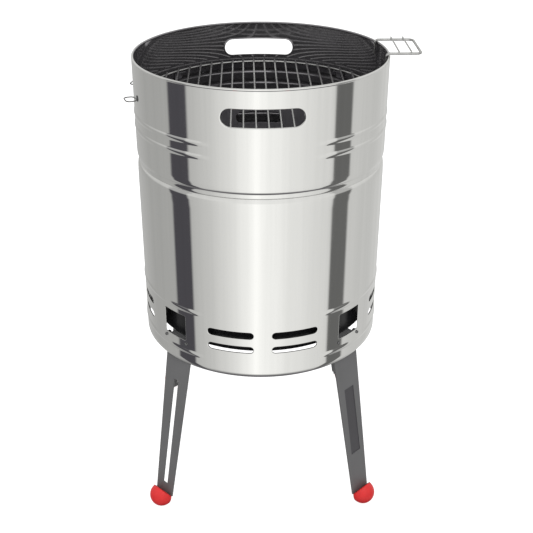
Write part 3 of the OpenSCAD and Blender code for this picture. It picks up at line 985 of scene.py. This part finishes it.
def darkened_below(nodes, links, colour, level, fade, dark):
    """A colour that turns dark within a fade below a height: painted shade."""
    z = split_xyz(nodes, links, object_coords(nodes)[0])["Z"]
    return mixed(nodes, links, spread(nodes, links, z, 0, 1, level - fade, level), dark, colour)


def over_paint(mat, factor, colour):
    """Lays a colour over a material's own where a factor is 1."""
    nodes, links = mat.node_tree.nodes, mat.node_tree.links
    bsdf = nodes["Principled BSDF"]
    painted = bsdf.inputs["Base Color"].links[0].from_socket
    links.new(mixed(nodes, links, factor, painted, colour), bsdf.inputs["Base Color"])


# ---------------------------------------------------------------- materials
LEG_GREY = ((0.112, 0.112, 0.114), (0.130, 0.130, 0.132), (0.5, 0.62))


def steel_material():
    """Bright rolled stainless steel with faint drawing marks; its faces inside carry painted shade,
    nearly black below the neck.
    """
    mat, nodes, links, bsdf = new_material("polished_steel")
    streaks = noise(nodes, links, 70, (1, 1, 0.02))
    smudge_and_shade_noise = noise(nodes, links, 9, detail=5)
    inside = inward(nodes, links)
    bright = mottled(nodes, links, streaks, (0.765, 0.765, 0.748), (0.822, 0.820, 0.803))
    # painted shade: faces looking inwards get a darker, less metallic colour that turns nearly black
    # below the upper shell's bottom, for the shade inside the drum; the same noise also varies the
    # roughness as smudges
    painted_inner_shade = mottled(nodes, links, smudge_and_shade_noise, (0.24, 0.232, 0.245), (0.34, 0.33, 0.345))
    painted_inner_shade = darkened_below(nodes, links, painted_inner_shade, UPPER_BOTTOM, 0.01, (0.03, 0.029, 0.031))
    links.new(mixed(nodes, links, inside, bright, painted_inner_shade), bsdf.inputs["Base Color"])
    links.new(spread(nodes, links, inside, 1, 0.88, 0, 1), bsdf.inputs["Metallic"])
    rough = maths(nodes, links, "ADD", spread(nodes, links, streaks, 0.02, 0.045),
                  spread(nodes, links, smudge_and_shade_noise, 0.0, 0.05))
    links.new(rough, bsdf.inputs["Roughness"])
    wave = noise(nodes, links, 6, (1, 1, 0.35), 1)
    first = bump(nodes, links, bsdf, wave, 0.0002, 0.5)
    bump(nodes, links, bsdf, streaks, 0.00001, 0.3, first)
    return mat


def wire_material(name, dull, bright):
    """Bright metal with dull patches."""
    mat, nodes, links, bsdf = new_material(name)
    bsdf.inputs["Metallic"].default_value = 1.0
    patch = noise(nodes, links, 220)
    links.new(mottled(nodes, links, patch, dull, bright), bsdf.inputs["Base Color"])
    links.new(spread(nodes, links, patch, 0.34, 0.20), bsdf.inputs["Roughness"])
    bump(nodes, links, bsdf, patch, 0.00005, 0.4)
    return mat


def paint_material(name, dark, light, rough, peel=500):
    """Powder-coated or enamelled steel with a fine orange-peel surface."""
    mat, nodes, links, bsdf = new_material(name)
    broad = noise(nodes, links, 14, detail=5)
    fine = noise(nodes, links, peel, detail=3)
    links.new(mottled(nodes, links, broad, dark, light), bsdf.inputs["Base Color"])
    links.new(spread(nodes, links, broad, rough[0], rough[1]), bsdf.inputs["Roughness"])
    bump(nodes, links, bsdf, fine, 0.00004, 0.5)
    return mat


def enamel_material():
    """Black vitreous enamel; its inner faces carry painted light, grey near the rim, and painted shade,
    black lower down.
    """
    mat = paint_material("bowl_enamel", (0.006, 0.006, 0.007), (0.010, 0.010, 0.011),
                         (0.3, 0.42), 120)
    nodes, links = mat.node_tree.nodes, mat.node_tree.links
    # painted light and shade: the inner faces are lightened to grey near the rim and darkened again
    # below a drop of 190 mm
    painted_inner_light_and_shade = mixed(nodes, links, noise(nodes, links, 40), (0.12, 0.115, 0.125),
                (0.15, 0.145, 0.155))
    painted_inner_light_and_shade = darkened_below(nodes, links, painted_inner_light_and_shade, drop_z(190), 0.05, (0.035, 0.033, 0.036))
    over_paint(mat, inward(nodes, links), painted_inner_light_and_shade)
    return mat


def panel_mask(nodes, links, az):
    """1 inside the recessed panel of the leg at an angle, found in the leg's own frame."""
    unmirrored = leg_frame(az) @ Matrix.Diagonal((-1, 1, 1, 1))
    to_leg = unmirrored.inverted()
    mapping = nodes.new("ShaderNodeMapping")
    mapping.inputs["Location"].default_value = to_leg.to_translation()
    mapping.inputs["Rotation"].default_value = to_leg.to_euler("XYZ")
    links.new(object_coords(nodes)[0], mapping.inputs["Vector"])
    place = split_xyz(nodes, links, mapping.outputs["Vector"])
    slack = 0.2 * MM
    across = maths(nodes, links, "COMPARE", place["X"], 0, PANEL_W / 2 + slack)
    along = maths(nodes, links, "COMPARE", place["Z"], -PANEL_MID, PANEL_H / 2 + slack)
    sunk = maths(nodes, links, "COMPARE", place["Y"], -PANEL_DEPTH, 0.5 * MM)
    return maths(nodes, links, "MULTIPLY", maths(nodes, links, "MULTIPLY", across, along), sunk)


def panel_leg_material(az):
    """The legs' grey paint, nearly black in the recessed panel."""
    mat = paint_material("leg_grey_panel_%d" % az, *LEG_GREY)
    over_paint(mat, panel_mask(mat.node_tree.nodes, mat.node_tree.links, az),
               (0.055, 0.053, 0.058))
    return mat


def plastic_material():
    """Moulded red plastic, a little scuffed."""
    mat, nodes, links, bsdf = new_material("red_plastic")
    broad = noise(nodes, links, 60, detail=5)
    fine = noise(nodes, links, 900, detail=2)
    links.new(mottled(nodes, links, broad, (0.60, 0.012, 0.013), (0.69, 0.018, 0.019)),
              bsdf.inputs["Base Color"])
    links.new(spread(nodes, links, broad, 0.36, 0.50), bsdf.inputs["Roughness"])
    bump(nodes, links, bsdf, fine, 0.00003, 0.4)
    return mat


# ---------------------------------------------------------------- studio
# what polished metal mirrors at each angle round the drum: a bright front and two dark flags
ENV_STOPS = ((-180, 0.40), (-150, 0.395), (-125, 0.345), (-91, 0.36), (-88.8, 0.062),
             (-70.3, 0.062), (-67.8, 0.44), (-50, 0.52), (-30, 0.68), (-14, 0.86), (-5, 0.97),
             (0, 0.915), (14, 0.83), (30, 0.745), (50, 0.67), (67, 0.60), (69, 0.12), (86, 0.12),
             (88.5, 0.54), (125, 0.50), (150, 0.55), (180, 0.40))


def env_ramp(nodes, links, direction):
    """The mirrored studio's colour at a direction's angle round the drum."""
    flip = maths(nodes, links, "MULTIPLY", direction["Y"], -1)
    turn = nodes.new("ShaderNodeMapRange")
    turn.inputs["From Min"].default_value = -math.pi
    turn.inputs["From Max"].default_value = math.pi
    links.new(maths(nodes, links, "ARCTAN2", direction["X"], flip), turn.inputs["Value"])
    ramp = nodes.new("ShaderNodeValToRGB")
    stops = ramp.color_ramp.elements
    while len(stops) > 1:
        stops.remove(stops[-1])
    for i, (az, value) in enumerate(ENV_STOPS):
        stop = stops[0] if i == 0 else stops.new((az + 180) / 360)
        stop.position = (az + 180) / 360
        level = value / 0.80
        cool = 1.0 + 0.12 * smooth_step((0.11 - value) / 0.04)
        stop.color = (level, level * (2 - cool) ** 0.3, level * 0.985 * cool, 1)
    links.new(turn.outputs[0], ramp.inputs["Fac"])
    return ramp.outputs["Color"]


def mirrored_studio(nodes, links):
    """The ramp round the horizon, softened towards the sky and dim straight below."""
    coord = nodes.new("ShaderNodeTexCoord")
    direction = split_xyz(nodes, links, coord.outputs["Generated"])
    around = env_ramp(nodes, links, direction)
    rising = spread(nodes, links, direction["Z"], 0, 1, -0.12, 0.05)
    sky = mixed(nodes, links, 0.5, around, (0.86, 0.86, 0.85))
    level = mixed(nodes, links, rising, around, sky)
    not_below = spread(nodes, links, direction["Z"], 0, 1, -0.86, -0.70)
    return mixed(nodes, links, not_below, (0.16, 0.155, 0.165), level)


def studio_world():
    """Even light for matt surfaces; polished ones mirror a bright front with two dark flags."""
    world = bpy.data.worlds.new("studio")
    bpy.context.scene.world = world
    world.use_nodes = True
    nodes, links = world.node_tree.nodes, world.node_tree.links
    nodes.clear()
    mirrored = nodes.new("ShaderNodeBackground")
    links.new(mirrored_studio(nodes, links), mirrored.inputs["Color"])
    even = nodes.new("ShaderNodeBackground")
    even.inputs["Color"].default_value = (1, 1, 1, 1)
    path = nodes.new("ShaderNodeLightPath")
    mix = nodes.new("ShaderNodeMixShader")
    links.new(path.outputs["Is Glossy Ray"], mix.inputs["Fac"])
    links.new(even.outputs[0], mix.inputs[1])
    links.new(mirrored.outputs[0], mix.inputs[2])
    out = nodes.new("ShaderNodeOutputWorld")
    links.new(mix.outputs[0], out.inputs["Surface"])


def floor_material():
    """Matt grey for the light it gives back, with a plain white glow that only a view sees."""
    mat, nodes, links, bsdf = new_material("floor_white")
    bsdf.inputs["Base Color"].default_value = (0.45, 0.45, 0.45, 1)
    bsdf.inputs["Roughness"].default_value = 0.9
    bsdf.inputs["Specular IOR Level"].default_value = 0.1
    glow = nodes.new("ShaderNodeEmission")
    glow.inputs["Strength"].default_value = 0.85
    none = nodes.new("ShaderNodeEmission")
    none.inputs["Strength"].default_value = 0.0
    path = nodes.new("ShaderNodeLightPath")
    seen = nodes.new("ShaderNodeMixShader")
    links.new(path.outputs["Is Camera Ray"], seen.inputs["Fac"])
    links.new(none.outputs[0], seen.inputs[1])
    links.new(glow.outputs[0], seen.inputs[2])
    both = nodes.new("ShaderNodeAddShader")
    links.new(bsdf.outputs[0], both.inputs[0])
    links.new(seen.outputs[0], both.inputs[1])
    links.new(both.outputs[0], nodes["Material Output"].inputs["Surface"])
    return mat


def add_floor():
    """A wide white floor that the polished steel does not mirror."""
    size, cells = 12.0, 8
    steps = [size * (2 * i / cells - 1) for i in range(cells + 1)]
    verts = [(x, y, 0) for x in steps for y in steps]
    faces = []
    for i in range(cells):
        for j in range(cells):
            a = i * (cells + 1) + j
            faces.append((a, a + cells + 1, a + cells + 2, a + 1))
    floor = add_object("studio_floor", verts, faces)
    floor.data.materials.append(floor_material())
    floor.visible_glossy = False


def add_lights():
    """A broad soft light above the front and a weaker one from the left."""
    target = Vector((0, 0, 0.4))
    for name, place, size, power in (("key_light", (0.6, -2.2, 2.6), 2.0, 30),
                                     ("side_light", (-2.6, -0.6, 1.8), 1.6, 10)):
        data = bpy.data.lights.new(name, "AREA")
        data.size = size
        data.energy = power
        light = bpy.data.objects.new(name, data)
        light.location = place
        light.rotation_euler = (target - light.location).to_track_quat("-Z", "Y").to_euler()
        light.visible_glossy = False
        bpy.context.scene.collection.objects.link(light)


# ---------------------------------------------------------------- build
add_camera()
studio_world()
add_floor()
add_lights()
bpy.context.scene.view_settings.view_transform = "Standard"

steel = steel_material()
wire = wire_material("chromed_wire", (0.42, 0.42, 0.41), (0.60, 0.60, 0.59))
ring_steel = wire_material("ring_wire", (0.16, 0.16, 0.16), (0.34, 0.34, 0.335))
zinc = wire_material("zinc_fastener", (0.30, 0.30, 0.30), (0.42, 0.42, 0.42))
black_zinc = wire_material("black_fastener", (0.14, 0.14, 0.145), (0.22, 0.22, 0.225))
leg_paint = paint_material("leg_grey_paint", *LEG_GREY)
iron = paint_material("grid_iron_paint", (0.03, 0.03, 0.03), (0.05, 0.048, 0.046),
                      (0.5, 0.65), 300)
dark = paint_material("eyelet_black", (0.02, 0.02, 0.022), (0.035, 0.035, 0.037),
                      (0.25, 0.35), 800)
enamel = enamel_material()
red = plastic_material()

build_upper_shell(steel)
build_lower_shell(steel)
build_bowl(enamel)
grid_xs = bar_positions(GRID_BARS, GRID_PITCH)
grate_xs = bar_positions(GRATE_BARS, GRATE_PITCH)
build_ring("grid_hoop", "charcoal_grid_ring", "charcoal_grid", iron)
build_bars("grid_rods", "charcoal_grid_bars", grid_xs, 178 * MM, "charcoal_grid", iron)
build_ring("grate_hoop", "grate_ring", "cooking_grate", wire, grate_xs)
build_bars("grate_rods", "grate_bars", grate_xs, 190 * MM, "cooking_grate", wire)
build_cross_wires(wire)
build_rack(wire)
build_tool_rings(ring_steel, dark)
build_feet(red)
build_screws(black_zinc)
dress_cad("leg_rear_right", leg_paint, 0.5 * MM)
dress_cad("leg_front_left", leg_paint, 0.5 * MM)
dress_cad("leg_front_right", panel_leg_material(45), 0.5 * MM)
dress_cad("leg_rear_left", panel_leg_material(225), 0.5 * MM)
dress_cad("grate_clips", enamel, 0.3 * MM)
dress_cad("grid_rests", enamel, 0.3 * MM)
dress_cad("leg_nuts", zinc, 0.25 * MM)
dress_cad("foot_screws", zinc, 0.3 * MM)
